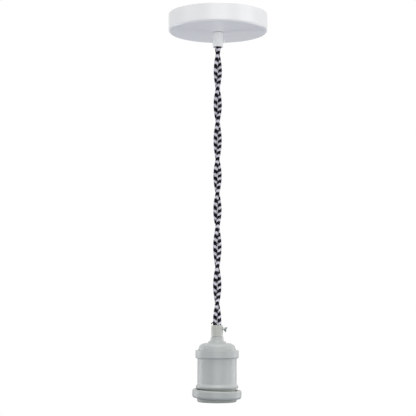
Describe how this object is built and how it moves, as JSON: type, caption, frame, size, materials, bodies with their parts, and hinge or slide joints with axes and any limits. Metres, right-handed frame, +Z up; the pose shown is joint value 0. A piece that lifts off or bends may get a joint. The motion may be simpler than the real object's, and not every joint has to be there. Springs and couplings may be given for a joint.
{
  "type": "pendant cord set",
  "caption": "Pendant cord set: round ceiling rose, twisted braided two-core cord and a screw lamp holder with a shade ring.",
  "frame": {"origin": "centre of the ceiling plane, where the rose's rim and the strap's feet meet the ceiling", "axes": "+Z up through the ceiling, along the cord's axis; +X towards the grip screws, along the strap; the set hangs in -Z"},
  "size_m": [0.1, 0.1, 0.3877],
  "materials": {
    "rose_paint": "semi-gloss white powder coat",
    "white_nylon": "satin white nylon",
    "clear_nylon": "milky grey nylon",
    "zinc_steel": "bright zinc plate",
    "grip_screw": "dull zinc plate",
    "brass": "plain brass",
    "braid": "black and white braided rayon",
    "brown_lead": "brown insulation",
    "blue_lead": "blue insulation",
    "holder_paint": "satin pale grey paint",
    "ring_paint": "satin pale grey paint",
    "moulding": "grey moulded resin"
  },
  "bodies": {
    "pendant": {"rose_cup": "rose_paint", "mounting_strap": "zinc_steel", "rose_washer": "zinc_steel", "rose_nut": "zinc_steel", "rose_grip": "white_nylon", "rose_grip_screw": "white_nylon", "earth_screw": "brass", "terminal_housing": "white_nylon", "terminal_sleeve_brown": "brass", "terminal_screw_brown_cord": "zinc_steel", "terminal_screw_brown_supply": "zinc_steel", "terminal_sleeve_blue": "brass", "terminal_screw_blue_cord": "zinc_steel", "terminal_screw_blue_supply": "zinc_steel", "rose_lead_brown": "brown_lead", "rose_lead_blue": "blue_lead", "cord_core_a": "braid", "cord_core_b": "braid", "holder_grip": "clear_nylon", "holder_grip_screw": "grip_screw", "holder_cap": "holder_paint", "holder_shell": "holder_paint", "contact_base": "moulding", "base_screw_front": "zinc_steel", "base_screw_back": "zinc_steel", "lamp_skirt": "moulding", "screw_shell": "brass", "centre_contact": "brass", "side_contact": "brass", "contact_clamp_live": "brass", "clamp_screw_live": "zinc_steel", "contact_clamp_neutral": "brass", "clamp_screw_neutral": "zinc_steel", "holder_lead_brown": "brown_lead", "holder_lead_blue": "blue_lead"},
    "ring": {"shade_ring": "ring_paint"}
  },
  "joints": [
    {"name": "ring_travel", "type": "slide", "parent": "pendant", "child": "ring", "axis": [0, 0, 1], "range_m": [-0.011, 0]}
  ]
}
